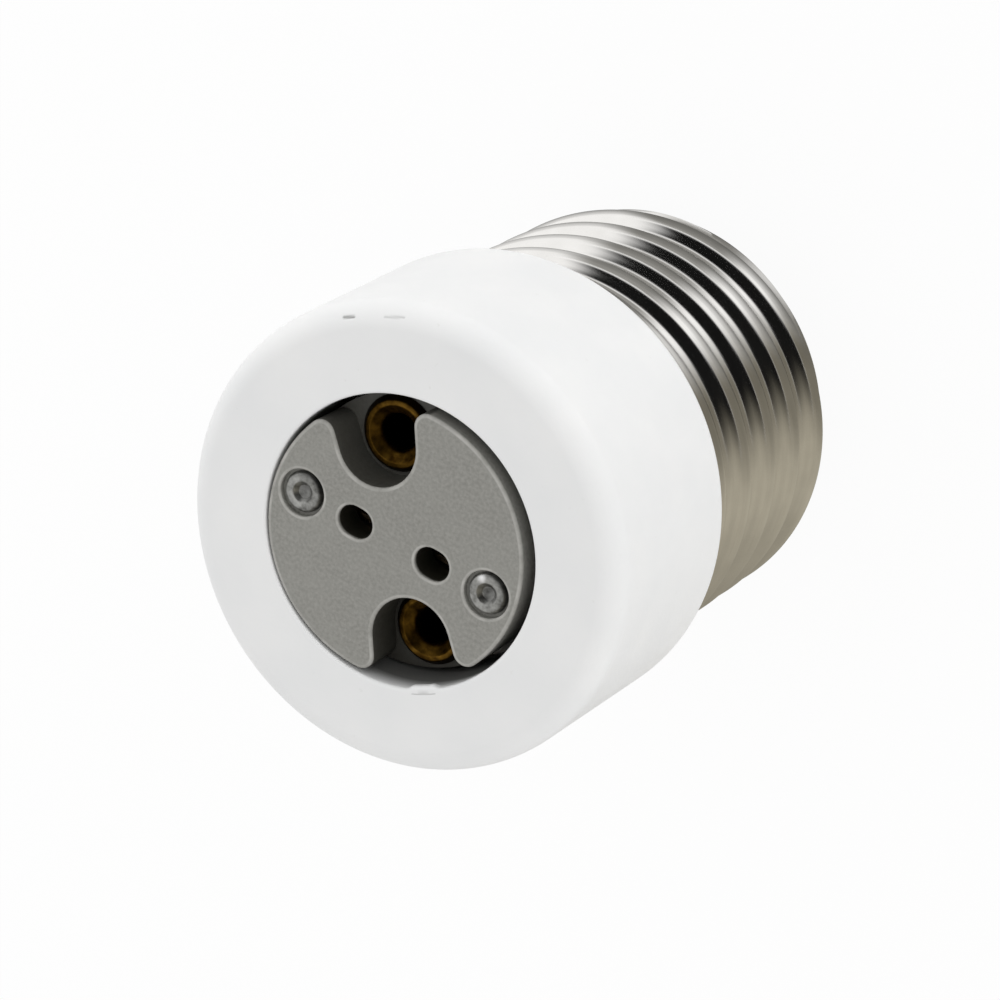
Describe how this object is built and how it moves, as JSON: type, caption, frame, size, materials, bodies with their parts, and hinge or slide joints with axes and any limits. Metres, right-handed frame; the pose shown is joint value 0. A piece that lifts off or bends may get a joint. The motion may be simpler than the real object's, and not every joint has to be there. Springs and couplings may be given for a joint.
{
  "type": "lamp socket adapter",
  "caption": "White round lamp socket adapter with a threaded metal screw cap at one end and a grey ceramic pin socket set in its flat face at the other.",
  "frame": {"origin": "on the common axis at the housing's rear face, where the rim of the screw shell stops", "axes": "+Z along the common axis and out of the pin socket, +X along the line of the pin holes"},
  "size_m": [0.0286, 0.0286, 0.0386],
  "materials": {
    "white_moulding": "satin white moulding",
    "nickel_plate": "bright nickel plate on brass",
    "cap_black": "glossy black insulator",
    "contact_brass": "pressed, slightly dull",
    "solder": "tin solder",
    "cement": "rough",
    "steatite": "unglazed, fine grained",
    "back_plate": "pressed insulating board",
    "rivet_metal": "dull tin plate",
    "eyelet_brass": "darkened brass",
    "spring_bronze": "rolled strip",
    "copper": "tinned copper strands",
    "live_insulation": "silicone sleeve",
    "neutral_insulation": "silicone sleeve"
  },
  "bodies": {
    "root": {"housing": "white_moulding", "screw_shell": "nickel_plate", "cap_insulator": "cap_black", "centre_contact": "contact_brass", "contact_solder": "solder", "bedding_cement": "cement", "lampholder_body": "steatite", "lampholder_back_plate": "back_plate", "lampholder_rivets": "rivet_metal", "mounting_eyelets": "eyelet_brass", "live_pin_contact": "spring_bronze", "neutral_pin_contact": "spring_bronze", "live_conductor": "copper", "live_sleeve": "live_insulation", "neutral_conductor": "copper", "neutral_sleeve": "neutral_insulation"}
  },
  "joints": []
}
